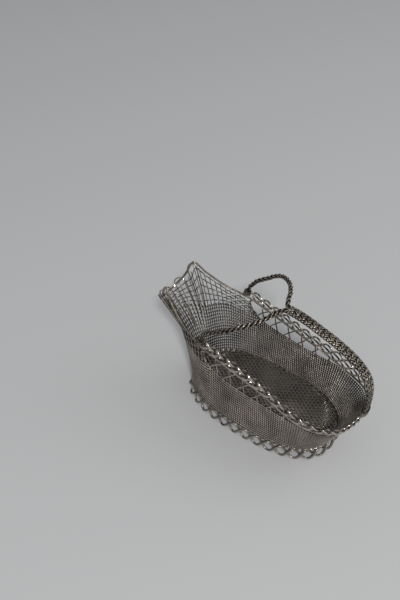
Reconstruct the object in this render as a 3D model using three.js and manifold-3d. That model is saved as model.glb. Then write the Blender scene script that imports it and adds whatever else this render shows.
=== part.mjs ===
// A boat-shaped pouring basket of woven wire, with a scalloped foot, an open band of crossed wires under a
// plaited rim, a neck that sweeps out into a looped lip, and a rigid wishbone handle. Millimetres, +Z up.
// +X points to the back of the basket, where the grip comes down, and -X to the pouring lip.
// The design is laid out along X from a datum near the middle, and is centred at the end of the file.
import * as THREE from 'three';
import { mergeVertices } from 'three/addons/utils/BufferGeometryUtils.js';
import Module from 'manifold-3d';

// Clearance between neighbouring pieces
const clearance = 0.4;

// Base oval: the ring that floor, wall and foot are bound to
const baseCentreX = 11.5;
const baseLength = 178;
const baseWidth = 98;
const baseHeight = 14.4;
const ovalPower = 2.6;
const baseWire = 2.6;
const floorThickness = 1.8;

// Scalloped foot: two wires that wave between the table and the base ring
const footWire = 2.6;
const footFlare = 2.6;
const footWaves = 16;
const footFlat = 0.5;

// Woven wall and floor: rows of paired wires stand out as ribs on both faces
const wallThickness = 1.8;
const weaveRelief = 0.6;
const wallRibs = 16;
const floorRibs = 46;
const lipSweep = 2.0;

// Rim: heights and reach of the middle line of the plaited band
const rimHalfWidth = 46;
const rimBackReach = 127.5;
const rimBackHeight = 74;
const rimSideHeight = 77;
const rimMiddleHeight = 94;
const rimFrontHeight = 109;
const rimCordHeight = 115;
const neckFootHeight = 116;

// Neck and lip
const neckHalfWidth = 32;
const neckHeight = 127;
const lipHalfWidth = 25;
const lipCornerHeight = 141;
const lipReach = 124;
const lipHeight = 105;
const closeEdgeHeight = 89;
const meshStartX = -33;
const neckWire = 1.1;
const neckRows = 5;
const neckUprights = 40;

// Rim wires
const rodWire = 2.8;
const strandWire = 2.1;
const plaitHalfHeight = 5.4;
const plaitHalfDepth = 1.6;
const plaitPitch = 42;
const backHalfHeight = 3.0;
const backPitch = 24;
const bandDepth = 29;

// Stakes that cross in the open band
const stakeWire = 1.5;
const stakesPerSide = 7;
const stakePitch = 17.3;
const firstCrossX = -41;
const foreLean = 13;
const aftLean = 39;
const stakeRoot = 6;

// Handle
const cordX = -47;
const cordWire = 5.4;
const cordBulge = 50;
const junctionX = 31;
const junctionHeight = 170;
const gripWidth = 12;
const gripThickness = 5.4;
const gripOverhang = 3;
const bindingWall = 1.5;
const bindingLength = 7.5;

// Loops of the lip
const lipWire = 1.6;
const lipLoops = 5;
const loopReach = 6.5;

// Fineness of the facets
const ringSteps = 64;
const stepsPerTurn = 12;
const wireSides = 5;
const netSides = 4;
const gripSides = 10;

const silver = new THREE.MeshStandardMaterial({ color: 0x8f877c, roughness: 0.36, metalness: 0.9 });
const weaveSilver = new THREE.MeshStandardMaterial({ color: 0x776e65, roughness: 0.5, metalness: 0.85 });

const wasm = await Module();
wasm.setup();

// A closed body from points and triangles, turned so that its faces point out
function body(points, triangles) {
  let volume = 0;
  for (const [a, b, c] of triangles) {
    volume += points[a].dot(new THREE.Vector3().crossVectors(points[b], points[c]));
  }
  const facing = volume < 0 ? triangles.map(([a, b, c]) => [a, c, b]) : triangles;
  const geometry = new THREE.BufferGeometry();
  geometry.setAttribute('position', new THREE.Float32BufferAttribute(points.flatMap((p) => p.toArray()), 3));
  geometry.setIndex(facing.flat());
  geometry.computeVertexNormals();
  return geometry;
}

// Two triangles for each cell of a grid of rows, which wraps round where asked
function gridTriangles(rows, columns, wrapRows, wrapColumns, first = 0) {
  const triangles = [];
  for (let i = 0; i < (wrapRows ? rows : rows - 1); i++) {
    for (let j = 0; j < (wrapColumns ? columns : columns - 1); j++) {
      const a = first + i * columns + j;
      const b = first + i * columns + ((j + 1) % columns);
      const c = first + ((i + 1) % rows) * columns + j;
      const d = first + ((i + 1) % rows) * columns + ((j + 1) % columns);
      triangles.push([a, b, d], [a, d, c]);
    }
  }
  return triangles;
}

// Rings of an oval section carried along a line of points; `side` gives the way its width points
function sectionRings(line, side, width, thickness, sides, closed) {
  const count = line.length;
  return line.flatMap((point, i) => {
    const before = closed ? line[(i + count - 1) % count] : line[Math.max(i - 1, 0)];
    const after = closed ? line[(i + 1) % count] : line[Math.min(i + 1, count - 1)];
    const along = new THREE.Vector3().subVectors(after, before).normalize();
    const up = new THREE.Vector3().crossVectors(along, side(i)).normalize();
    const across = new THREE.Vector3().crossVectors(up, along).normalize();
    return Array.from({ length: sides }, (_, k) => {
      const angle = (2 * Math.PI * (k + 0.5)) / sides;
      return point
        .clone()
        .addScaledVector(across, (Math.cos(angle) * width) / 2)
        .addScaledVector(up, (Math.sin(angle) * thickness) / 2);
    });
  });
}

// A closed body from rings of points, with flat ends or joined into a loop
function ringBody(points, rings, sides, closed) {
  const triangles = gridTriangles(rings, sides, closed, true);
  if (!closed) {
    const last = (rings - 1) * sides;
    for (let k = 1; k < sides - 1; k++) {
      triangles.push([0, k + 1, k], [last, last + k, last + k + 1]);
    }
  }
  return body(points, triangles);
}

// A wire or plait: a section along a line
function wire(line, side, width, thickness = width, sides = wireSides, closed = false) {
  return ringBody(sectionRings(line, side, width, thickness, sides, closed), line.length, sides, closed);
}

// Half the thickness of a ribbed sheet: full on the crest of each rib, less by the relief in each groove
const ribHalf = (sheet, step) => sheet / 2 - (step % 2 === 0 ? weaveRelief : 0);

// A sleeve round a wire or plait, with a clear bore
function sleeve(line, side, width, thickness, sides) {
  const bore = 2 * clearance;
  const outer = bore + 2 * bindingWall;
  const inside = sectionRings(line, side, width + bore, thickness + bore, sides, false);
  const outside = sectionRings(line, side, width + outer, thickness + outer, sides, false);
  const points = [];
  for (let i = 0; i < line.length; i++) points.push(outside.slice(i * sides, (i + 1) * sides));
  for (let i = line.length - 1; i >= 0; i--) points.push(inside.slice(i * sides, (i + 1) * sides));
  return body(points.flat(), gridTriangles(points.length, sides, true, true));
}

// Manifold solids, used only to cut
function toManifold(geometry) {
  const bare = geometry.clone();
  bare.deleteAttribute('normal');
  bare.deleteAttribute('uv');
  const merged = mergeVertices(bare);
  const vertProperties = new Float32Array(merged.attributes.position.array);
  const triVerts = new Uint32Array(merged.index.array);
  return new wasm.Manifold(new wasm.Mesh({ numProp: 3, vertProperties, triVerts }));
}

function fromManifold(manifold) {
  const mesh = manifold.getMesh();
  const geometry = new THREE.BufferGeometry();
  geometry.setAttribute('position', new THREE.Float32BufferAttribute(mesh.vertProperties, 3));
  geometry.setIndex(Array.from(mesh.triVerts));
  geometry.computeVertexNormals();
  return geometry;
}

// What lies above the table, so that a wire that dips below it gets a flat to stand on
function cutAtTable(geometry) {
  const reach = 4 * baseLength;
  const above = new THREE.BoxGeometry(reach, reach, reach).translate(0, 0, reach / 2);
  return fromManifold(toManifold(geometry).intersect(toManifold(above)));
}

// Base oval: a superellipse, measured by angle and by its own length
const signedPower = (value) => Math.sign(value) * Math.abs(value) ** (2 / ovalPower);

function ovalPoint(angle, height, grow = 0) {
  const x = baseCentreX + (baseLength / 2 + grow) * signedPower(Math.cos(angle));
  const y = (baseWidth / 2 + grow) * signedPower(Math.sin(angle));
  return new THREE.Vector3(x, y, height);
}

// Values between two ends that lie at even steps of length along a curve, and the curve's length. Length is
// counted in units that can change along the curve.
function evenSteps(pointAt, first, last, count, unitAt = () => 1) {
  const samples = 2400;
  const values = Array.from({ length: samples + 1 }, (_, i) => first + ((last - first) * i) / samples);
  const lengths = [0];
  for (let i = 1; i <= samples; i++) {
    const step = pointAt(values[i]).distanceTo(pointAt(values[i - 1]));
    lengths.push(lengths[i - 1] + step / unitAt(values[i]));
  }
  const length = lengths[samples];
  const steps = Array.from({ length: count + 1 }, (_, k) => {
    const wanted = (length * k) / count;
    const i = Math.max(1, lengths.findIndex((reached) => reached >= wanted - clearance / samples));
    const share = (wanted - lengths[i - 1]) / (lengths[i] - lengths[i - 1]);
    return values[i - 1] + share * (values[i] - values[i - 1]);
  });
  return { steps, length };
}

// Angles at even steps round the base oval
const evenAngles = (count) => evenSteps((a) => ovalPoint(a, 0), 0, 2 * Math.PI, count).steps.slice(0, count);

// Stations round the hull from the back to the lip: angle on the base oval in degrees, the rim's place,
// how far below the rim's middle line the weave and the rod lie, half the height of the plait, its pitch,
// how hollow the profile sweeps, and the height at which the close weave ends and the open mesh begins
const rodBelow = strandWire / 2 + clearance + rodWire / 2;
const rodDrop = plaitHalfHeight + rodBelow;
const backDrop = backHalfHeight + rodBelow;
const weaveRoom = rodWire / 2 + 2 * clearance;
const neckX = (share) => cordX - share * (lipReach + cordX);
const lipZ = (share) => lipHeight + share * (lipCornerHeight - lipHeight);
const closeRim = { sweep: 1, close: rimMiddleHeight };
const looseRim = { rod: rodDrop, half: plaitHalfHeight, pitch: plaitPitch, ...closeRim };
const tightRim = { rod: backDrop, half: backHalfHeight, pitch: backPitch, ...closeRim };
const openLip = { ...looseRim, weave: 0, rod: 0, sweep: lipSweep, close: closeEdgeHeight };
const backStation = (angle, x, y, z) => ({ angle, x, y, z, weave: backDrop, ...tightRim });
const rimStation = (angle, x, y, z, weave) => ({ angle, x, y, z, weave, ...looseRim });
const lipStation = (angle, x, y, z) => ({ angle, x, y, z, ...openLip });
const stations = [
  backStation(0, rimBackReach, 0, rimBackHeight),
  backStation(24, 0.92 * rimBackReach, 0.75 * rimHalfWidth, rimBackHeight),
  rimStation(50, 0.645 * rimBackReach, 1.04 * rimHalfWidth, rimSideHeight, rodDrop),
  rimStation(80, 0.235 * rimBackReach, rimHalfWidth, rimMiddleHeight, 0.83 * bandDepth),
  {
    ...rimStation(108, 0.53 * cordX, rimHalfWidth, rimFrontHeight, bandDepth),
    close: 0.965 * closeEdgeHeight,
  },
  {
    ...rimStation(122, cordX, 0.98 * rimHalfWidth, rimCordHeight, 0.48 * bandDepth),
    sweep: 1.2,
    close: 0.935 * closeEdgeHeight,
  },
  {
    ...rimStation(138, neckX(0.31), (rimHalfWidth + neckHalfWidth) / 2, neckFootHeight, 0.2 * bandDepth),
    rod: 0.25 * rodDrop,
    sweep: 1.6,
    close: closeEdgeHeight,
  },
  lipStation(153, neckX(0.585), neckHalfWidth, neckHeight),
  lipStation(165, neckX(0.765), lipHalfWidth, lipCornerHeight),
  lipStation(171, neckX(0.885), 0.84 * lipHalfWidth, lipZ(0.44)),
  lipStation(176, neckX(0.968), 0.5 * lipHalfWidth, lipZ(0.11)),
  lipStation(180, -lipReach, 0, lipHeight),
];
const lastStation = stations.length - 1;
const stationCount = 2 * lastStation;

// The station at any whole number round the hull, mirrored on the near side (-Y)
function station(index) {
  const i = ((index % stationCount) + stationCount) % stationCount;
  if (i <= lastStation) return stations[i];
  const s = stations[stationCount - i];
  return { ...s, angle: 360 - s.angle, y: -s.y };
}

// A station value at any place round the hull, on a smooth curve through the stations
function blend(place, value) {
  const i = Math.floor(place);
  const f = place - i;
  const [a, b, c, d] = [-1, 0, 1, 2].map((step) => value(i + step));
  return b + 0.5 * f * (c - a + f * (2 * a - 5 * b + 4 * c - d + f * (3 * (b - c) + d - a)));
}

const hullAngle = (index) => {
  const turns = Math.floor(index / stationCount);
  return station(index).angle + 360 * turns;
};

// The hull: place runs round it (0 at the back, lastStation at the lip), height from the base up
function hullPoint(place, height) {
  const angle = THREE.MathUtils.degToRad(blend(place, hullAngle));
  const foot = ovalPoint(angle, baseHeight);
  const rimX = blend(place, (i) => station(i).x);
  const rimY = blend(place, (i) => station(i).y);
  const rimZ = blend(place, (i) => station(i).z);
  const rise = Math.max(0, (height - baseHeight) / (rimZ - baseHeight));
  const out = rise ** blend(place, (i) => station(i).sweep);
  return new THREE.Vector3(foot.x + (rimX - foot.x) * out, foot.y + (rimY - foot.y) * out, height);
}

const rimHeight = (place) => blend(place, (i) => station(i).z);
const rodHeight = (place) => rimHeight(place) - blend(place, (i) => station(i).rod);

// How much longer the sloping rod is than its plan, so that a drop can be measured square to it
function steepness(place) {
  const step = 0.1;
  const ahead = hullPoint(place + step, rodHeight(place + step));
  const run = ahead.sub(hullPoint(place - step, rodHeight(place - step)));
  return run.length() / Math.hypot(run.x, run.y);
}

// The edge of the weave, which is never nearer to the rod than the clearance
function weaveHeight(place) {
  const wanted = rimHeight(place) - blend(place, (i) => station(i).weave);
  return Math.min(wanted, rodHeight(place) - weaveRoom * steepness(place));
}

// The edge of the close weave, which is the edge of all the weave except where the open mesh stands on it
const closeHeight = (place) => Math.min(weaveHeight(place), blend(place, (i) => station(i).close));

// The way out of the hull, and the way up along it
function hullOut(place, height) {
  const step = 0.02;
  const round = hullPoint(place + step, height).sub(hullPoint(place - step, height));
  return new THREE.Vector3().crossVectors(round, hullUp(place, height)).normalize();
}

function hullUp(place, height) {
  const step = 0.5;
  return hullPoint(place, height + step).sub(hullPoint(place, height - step)).normalize();
}

const onHull = (place, height, out) => hullPoint(place, height).addScaledVector(hullOut(place, height), out);

// The place round the hull, on the far side, where a line at a height crosses a given X
function placeAtX(x, heightAt) {
  let low = 0;
  let high = lastStation;
  for (let i = 0; i < 40; i++) {
    const middle = (low + high) / 2;
    if (hullPoint(middle, heightAt(middle)).x > x) low = middle;
    else high = middle;
  }
  return (low + high) / 2;
}

const group = new THREE.Group();

function add(name, geometry, material) {
  const mesh = new THREE.Mesh(geometry, material);
  mesh.name = name;
  group.add(mesh);
}

const upright = () => new THREE.Vector3(0, 0, 1);
const mirrorY = (point) => new THREE.Vector3(point.x, -point.y, point.z);

// Base ring and floor
const ringAngles = evenAngles(ringSteps);
const ringLine = ringAngles.map((a) => ovalPoint(a, baseHeight));
add('base_ring', wire(ringLine, upright, baseWire, baseWire, wireSides, true), silver);

const floorInset = baseWire / 2 + clearance;
const floorHalfLength = baseLength / 2 - floorInset;
const floorEnd = 0.998;
const floorSteps = 2 * floorRibs;
const floorPoints = Array.from({ length: floorSteps + 1 }, (_, i) => {
  const share = floorEnd * ((2 * i) / floorSteps - 1);
  const x = baseCentreX + share * floorHalfLength;
  const y = (baseWidth / 2 - floorInset) * (1 - Math.abs(share) ** ovalPower) ** (1 / ovalPower);
  const z = ribHalf(floorThickness, i);
  return [[y, z], [-y, z], [-y, -z], [y, -z]].map(([across, up]) => {
    return new THREE.Vector3(x, across, baseHeight + up);
  });
});
add('floor_panel', ringBody(floorPoints.flat(), floorPoints.length, 4, false), weaveSilver);

// Scalloped foot: one wire starts low and the other high, and they pass outside and inside of each other in
// turn where they cross
const footLow = footWire / 2 - footFlat;
const footHigh = baseHeight - baseWire / 2 - clearance - footWire / 2;
const footApart = (footWire + clearance) / 2;
const stepsPerWave = 8;
const footAngles = evenAngles(footWaves * stepsPerWave);
for (const [number, phase] of [[1, 1], [2, -1]]) {
  const line = footAngles.map((angle, i) => {
    const turn = 2 * Math.PI * (i / stepsPerWave + 0.25);
    const rise = (1 - phase * Math.cos(turn)) / 2;
    const out = phase * footApart * Math.sin(turn) + footFlare * (1 - rise);
    return ovalPoint(angle, footLow + (footHigh - footLow) * rise, out);
  });
  add(`foot_wave_${number}`, cutAtTable(wire(line, upright, footWire, footWire, wireSides, true)), silver);
}

// Woven wall: a ribbed shell from just above the base ring up to the edge of the close weave
const wallFoot = baseHeight + baseWire / 2 + clearance;
const wallSteps = 2 * wallRibs;
const wallPlaces = Array.from({ length: ringSteps }, (_, i) => (stationCount * i) / ringSteps);
const wallPoints = wallPlaces.flatMap((place) => {
  const face = (side) => Array.from({ length: wallSteps + 1 }, (_, j) => {
    const height = wallFoot + ((closeHeight(place) - wallFoot) * j) / wallSteps;
    return onHull(place, height, side * ribHalf(wallThickness, j));
  });
  return [...face(1), ...face(-1).reverse()];
});
add('wall_weave', ringBody(wallPoints, ringSteps, 2 * (wallSteps + 1), true), weaveSilver);

// Open mesh of the neck: one wire bent up and down between the close weave and the rod, and rows of weft that
// run round outside it from cord to cord
const meshStart = placeAtX(meshStartX, weaveHeight);
const uprightOut = -(wallThickness - neckWire) / 2;
const rowOut = uprightOut + neckWire + clearance;
const meshFoot = (place) => closeHeight(place) + clearance + neckWire / 2;
const meshTop = (place) => weaveHeight(place) - neckWire / 2;
const meshHeight = (place, share) => meshFoot(place) + share * (meshTop(place) - meshFoot(place));
const meshPlaces = evenSteps(
  (place) => hullPoint(place, meshHeight(place, 0.5)),
  meshStart,
  stationCount - meshStart,
  neckUprights - 1,
).steps;
const uprightSteps = 3;
const uprightTurns = meshPlaces.flatMap((place, upright) => {
  return Array.from({ length: uprightSteps + 1 }, (_, i) => {
    const climb = i / uprightSteps;
    return { place, height: meshHeight(place, upright % 2 === 0 ? climb : 1 - climb) };
  });
});
const uprightLine = uprightTurns.map(({ place, height }) => onHull(place, height, uprightOut));
const uprightSide = (i) => hullOut(uprightTurns[i].place, uprightTurns[i].height);
add('neck_uprights', wire(uprightLine, uprightSide, neckWire, neckWire, netSides), silver);

// Rim rod: one closed wire round the mouth, the neck and the lip
const rodLine = wallPlaces.map((place) => hullPoint(place, rodHeight(place)));
const rodSide = (i) => hullOut(wallPlaces[i], rodHeight(wallPlaces[i]));
add('rim_rod', wire(rodLine, rodSide, rodWire, rodWire, wireSides + 1, true), silver);

// Where each cord stands on the rod, just ahead of the ends of the plaited strands
const cordPlace = placeAtX(cordX, rodHeight);
const cordRoom = cordWire / 2 + clearance + bindingWall + strandWire;
const plaitEnd = placeAtX(cordX + cordRoom, rimHeight);

// Rows of the neck's mesh, each inside its own share of the open height
const rowPlaces = meshPlaces.filter((place) => place > cordPlace && place < stationCount - cordPlace);
for (let row = 0; row < neckRows; row++) {
  const share = (row + 0.6) / neckRows;
  const line = rowPlaces.map((place) => onHull(place, meshHeight(place, share), rowOut));
  const side = (i) => hullOut(rowPlaces[i], meshHeight(rowPlaces[i], share));
  add(`neck_row_${row + 1}`, wire(line, side, neckWire, neckWire, netSides), silver);
}

// Plaited rim: three strands weave up, down and across each other, loosely along the sides and tightly round
// the back. Each turn of the plait has a whole number of steps, so that a step falls on every crossing.
const rimPoint = (place) => hullPoint(place, rimHeight(place));
const pitchAt = (place) => blend(place, (i) => station(i).pitch);
const plaitTurns = Math.round(evenSteps(rimPoint, plaitEnd, -plaitEnd, 1, pitchAt).length);
const plaitPlaces = evenSteps(rimPoint, plaitEnd, -plaitEnd, plaitTurns * stepsPerTurn, pitchAt).steps;
for (let strand = 0; strand < 3; strand++) {
  const line = plaitPlaces.map((place, i) => {
    const turn = 2 * Math.PI * (i / stepsPerTurn + strand / 3);
    const height = rimHeight(place);
    return onHull(place, height, plaitHalfDepth * Math.sin(2 * turn))
      .addScaledVector(hullUp(place, height), blend(place, (k) => station(k).half) * Math.sin(turn));
  });
  const side = (i) => hullOut(plaitPlaces[i], rimHeight(plaitPlaces[i]));
  add(`rim_strand_${strand + 1}`, wire(line, side, strandWire), silver);
}

// Stakes: each rises from the weave and leans across the open band to the rod, the fore ones inside the wall
// and the aft ones outside it, so that they cross half way up; their tops are drawn in under the rod
const stakeOut = wallThickness / 2 + clearance + stakeWire / 2;
const stakeTop = rodWire / 2 + clearance + stakeWire / 2;
const climbSteps = 3;
function stakeLine(crossX, lean, out) {
  const cross = placeAtX(crossX, weaveHeight);
  const half = (rodHeight(cross) - stakeTop - weaveHeight(cross)) / 2;
  const shift = half * Math.tan(THREE.MathUtils.degToRad(lean));
  const place = placeAtX(crossX - shift, weaveHeight);
  const topPlace = placeAtX(crossX + shift, rodHeight);
  const foot = weaveHeight(place) - stakeRoot;
  const climb = Array.from({ length: climbSteps + 1 }, (_, i) => {
    return onHull(place, foot + (stakeRoot * i) / climbSteps, out);
  });
  const top = rodHeight(topPlace) - stakeTop;
  const middle = onHull((place + topPlace) / 2, (weaveHeight(place) + top) / 2, out);
  return [...climb, middle, onHull(topPlace, top, out / 4)];
}
const lengthwise = () => new THREE.Vector3(1, 0, 0);
for (const [kind, lean, out] of [['fore', -foreLean, -stakeOut], ['aft', aftLean, stakeOut]]) {
  for (let i = 0; i < stakesPerSide; i++) {
    const line = stakeLine(firstCrossX + stakePitch * i, lean, out);
    add(`far_${kind}_stake_${i + 1}`, wire(line, lengthwise, stakeWire), silver);
    add(`near_${kind}_stake_${i + 1}`, wire(line.map(mirrorY), lengthwise, stakeWire), silver);
  }
}

// Handle cords: each stands on the rod, bulges out and turns in over the basket, and the two run side by side
// into the grip
const cordFoot = hullPoint(cordPlace, rodHeight(cordPlace) + rodWire / 2 + clearance);
const cordSteps = 26;
const cordPoint = (along, out, up) => {
  const x = cordX + along * (junctionX - cordX);
  return new THREE.Vector3(x, out * cordBulge, rimCordHeight + up * (junctionHeight - rimCordHeight));
};
const cordPath = new THREE.CatmullRomCurve3([
  cordFoot,
  cordPoint(0.038, 0.916, 0.124),
  cordPoint(0.14, 0.946, 0.353),
  cordPoint(0.29, 0.984, 0.529),
  cordPoint(0.43, 0.992, 0.7),
  cordPoint(0.57, 0.912, 0.836),
  cordPoint(0.73, 0.71, 0.942),
  cordPoint(0.838, 0.46, 0.993),
  cordPoint(0.893, 0.24, 1.011),
  cordPoint(0.93, 0.115, 1.007),
  new THREE.Vector3(junctionX - cordWire / 2, (cordWire + clearance) / 2, junctionHeight),
]);
const cordEnd = new THREE.Vector3(junctionX, (cordWire + clearance) / 2, junctionHeight);
const cordLine = [...cordPath.getSpacedPoints(cordSteps), cordEnd];
const cordSides = 8;
add('far_cord', wire(cordLine, upright, cordWire, cordWire, cordSides), silver);
add('near_cord', wire(cordLine.map(mirrorY), upright, cordWire, cordWire, cordSides), silver);

// Bindings: wire wrapped round the cords' feet
const cordLength = cordPath.getLength();
const lowWrap = [0, 0.5, 1].map((share) => {
  return cordPath.getPointAt((cordWire / 2 + bindingLength * share) / cordLength);
});
add('far_cord_binding', sleeve(lowWrap, lengthwise, cordWire, cordWire, cordSides), silver);
add('near_cord_binding', sleeve(lowWrap.map(mirrorY), lengthwise, cordWire, cordWire, cordSides), silver);

// Grip: a flat plait from the ends of the cords over and down to the back of the rim
const gripBackX = rimBackReach + gripOverhang;
const gripStart = junctionX + clearance;
const plaitTop = rimBackHeight + backHalfHeight + strandWire / 2;
const gripPoint = (along, down) => {
  const z = junctionHeight - down * (junctionHeight - plaitTop);
  return new THREE.Vector3(gripStart + along * (gripBackX - gripStart), 0, z);
};
const gripPath = new THREE.CatmullRomCurve3([
  gripPoint(0, 0),
  gripPoint(0.1, 0.007),
  gripPoint(0.22, 0.032),
  gripPoint(0.37, 0.079),
  gripPoint(0.57, 0.148),
  gripPoint(0.78, 0.26),
  gripPoint(0.915, 0.39),
  gripPoint(0.975, 0.522),
  gripPoint(0.998, 0.68),
  gripPoint(1, 0.84),
  gripPoint(0.985, 1).add(new THREE.Vector3(0, 0, clearance)),
]);
const gripSteps = 26;
const sideways = () => new THREE.Vector3(0, 1, 0);
const gripLine = gripPath.getSpacedPoints(gripSteps);
add('grip', wire(gripLine, sideways, gripWidth, gripThickness, gripSides), silver);

// Tail binding: wire wrapped round the grip just above the rim
const gripLength = gripPath.getLength();
const tailLine = [1, 0.5, 0].map((share) => {
  return gripPath.getPointAt(1 - (2 * clearance + bindingLength * share) / gripLength);
});
add('tail_binding', sleeve(tailLine, sideways, gripWidth, gripThickness, gripSides), silver);

// Lip loops: hairpins that climb the outside of the neck and turn back beyond the lip
const loopOut = rodWire / 2 + clearance + lipWire / 2;
const loopHalf = 0.42;
const loopSpread = 2.6;
const turnSteps = 6;
for (let i = 0; i < lipLoops; i++) {
  const place = lastStation + loopSpread * ((2 * i) / (lipLoops - 1) - 1);
  const legHeights = [0.55, 0.7, 0.85, 1].map((share) => share * rimHeight(place));
  const leg = (at) => legHeights.map((height) => onHull(at, Math.min(height, rimHeight(at)), loopOut));
  const up = leg(place - loopHalf);
  const down = leg(place + loopHalf).reverse();
  const middle = up[up.length - 1].clone().add(down[0]).multiplyScalar(0.5);
  const across = down[0].clone().sub(up[up.length - 1]).multiplyScalar(0.5);
  const ahead = hullUp(place, rimHeight(place) - 1).multiplyScalar(loopReach);
  const turn = Array.from({ length: turnSteps - 1 }, (_, k) => {
    const angle = (Math.PI * (k + 1)) / turnSteps;
    return middle.clone().addScaledVector(across, -Math.cos(angle)).addScaledVector(ahead, Math.sin(angle));
  });
  const side = () => hullOut(place, rimHeight(place) - 1);
  add(`lip_loop_${i + 1}`, wire([...up, ...turn, ...down], side, lipWire), silver);
}

// The datum moves to the middle of the finished part, on the table
const box = new THREE.Box3().setFromObject(group);
group.position.set(-(box.min.x + box.max.x) / 2, -(box.min.y + box.max.y) / 2, 0);
group.updateMatrixWorld(true);

export default group;
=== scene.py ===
import bpy
import numpy as np
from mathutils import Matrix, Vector


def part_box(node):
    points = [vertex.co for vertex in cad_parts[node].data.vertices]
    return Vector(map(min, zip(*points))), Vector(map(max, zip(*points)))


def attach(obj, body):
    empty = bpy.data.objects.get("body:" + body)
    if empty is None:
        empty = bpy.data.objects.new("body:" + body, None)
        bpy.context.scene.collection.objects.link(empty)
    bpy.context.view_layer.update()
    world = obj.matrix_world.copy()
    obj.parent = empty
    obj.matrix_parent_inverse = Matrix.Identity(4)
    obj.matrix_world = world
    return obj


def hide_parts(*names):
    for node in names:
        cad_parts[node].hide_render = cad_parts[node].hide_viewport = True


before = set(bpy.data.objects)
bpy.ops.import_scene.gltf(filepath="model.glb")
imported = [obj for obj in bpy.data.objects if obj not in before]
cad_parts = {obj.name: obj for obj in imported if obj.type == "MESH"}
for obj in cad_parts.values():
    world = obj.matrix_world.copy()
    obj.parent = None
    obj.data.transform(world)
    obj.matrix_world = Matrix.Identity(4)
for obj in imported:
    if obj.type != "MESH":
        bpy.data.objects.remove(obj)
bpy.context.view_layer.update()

# Floor of the basket: a flat mat of silver-plated wire, fine long warps crossed by close pairs of weft, with
# all ends turned round the base ring. It lies inside the ring, a little above the table.
MILLIMETRE = 0.001
WAY_UP = (0, 0, 1)
BASE_HALF_LENGTH = 89.0
BASE_HALF_WIDTH = 49.0
OVAL_POWER = 2.6
FLOOR_MARGIN = 1.8
FLOOR_WIRE = 1.5
FLOOR_PAIRS = 46
FLOOR_PAIR_SHARE = 0.22
FLOOR_SWING = 0.28
FLOOR_REACH = 1.0
FLOOR_WEFT_STEPS = 2
FLOOR_WARP = 0.9
FLOOR_WARP_PITCH = 2.4
FLOOR_WARP_STEPS = 9
TARNISH_SCALE = 45.0
TARNISH_SPREAD = 1.4
GRAIN_SCALE = 420.0
GRAIN_SPREAD = 0.8
SILVER_METALLIC = 0.92

ring_low, ring_high = (np.array(corner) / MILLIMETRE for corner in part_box("base_ring"))
base_centre = (ring_low + ring_high) / 2


def unit(vectors):
    """Vectors over their lengths."""
    return vectors / np.linalg.norm(vectors, axis=-1, keepdims=True)


def lay_wires(name, lines, side, wire, corners=6, closed=False, offset=0.0, reach=None):
    """Round tubes along lines of shape (wires, steps, 3). Round each point stands a ring of corners: half the
    wire times the cosine of the angle along `side`, plus the same times its sine across side and line. Rings
    join to quads, and open ends are capped. The attribute for wear and shade is the height along `side`
    without its sign, which is the line's offset plus the corner's part, over the reach, so a long reach keeps
    a piece dull. It is partly rubbed wear on the crests and partly painted shade, low in the hollows between
    wires and on the faces towards their neighbours."""
    lines = np.asarray(lines, float)
    wires, steps = lines.shape[:2]
    if closed:
        along = unit(np.roll(lines, -1, axis=1) - np.roll(lines, 1, axis=1))
    else:
        along = unit(np.gradient(lines, axis=1))
    up = unit(np.cross(along, np.broadcast_to(side, lines.shape)))
    across = np.cross(up, along)
    angle = 2 * np.pi * (np.arange(corners) + 0.5) / corners
    lean = np.cos(angle)[:, None] * across[:, :, None] + np.sin(angle)[:, None] * up[:, :, None]
    points = lines[:, :, None] + wire / 2 * lean
    index = np.arange(wires * steps * corners).reshape(wires, steps, corners)
    here = index if closed else index[:, :-1]
    there = np.roll(index, -1, axis=1) if closed else index[:, 1:]
    quads = np.stack([here, np.roll(here, -1, 2), np.roll(there, -1, 2), there], axis=-1).reshape(-1, 4)
    caps = np.empty((0, corners), int) if closed else np.concatenate([index[:, 0, ::-1], index[:, -1]])
    mesh = bpy.data.meshes.new(name)
    mesh.vertices.add(points.size // 3)
    mesh.vertices.foreach_set("co", (points * MILLIMETRE).ravel())
    mesh.loops.add(quads.size + caps.size)
    mesh.loops.foreach_set("vertex_index", np.concatenate([quads.ravel(), caps.ravel()]))
    mesh.polygons.add(len(quads) + len(caps))
    starts = [np.arange(len(quads)) * 4, quads.size + np.arange(len(caps)) * corners]
    mesh.polygons.foreach_set("loop_start", np.concatenate(starts))
    mesh.update(calc_edges=True)
    mesh.shade_smooth()
    middle = np.broadcast_to(np.asarray(offset, float), (wires, steps))[:, :, None]
    # Painted shade: hollows between wires and faces towards neighbouring wires get a low value and so a
    # darker colour; crests get a high, rubbed one.
    wear_and_shade = np.abs(middle + wire / 2 * np.cos(angle)) / (reach or wire / 2)
    mesh.attributes.new("wear_and_shade", "FLOAT", "POINT").data.foreach_set("value", wear_and_shade.ravel())
    piece = bpy.data.objects.new(name, mesh)
    bpy.context.scene.collection.objects.link(piece)
    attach(piece, "root")
    return piece


def dress(piece, finish, slot, *nodes):
    """Gives a piece its finish and hides the solids that it stands for. The slot is not used."""
    piece.data.materials.append(finish)
    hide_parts(*nodes)


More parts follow.
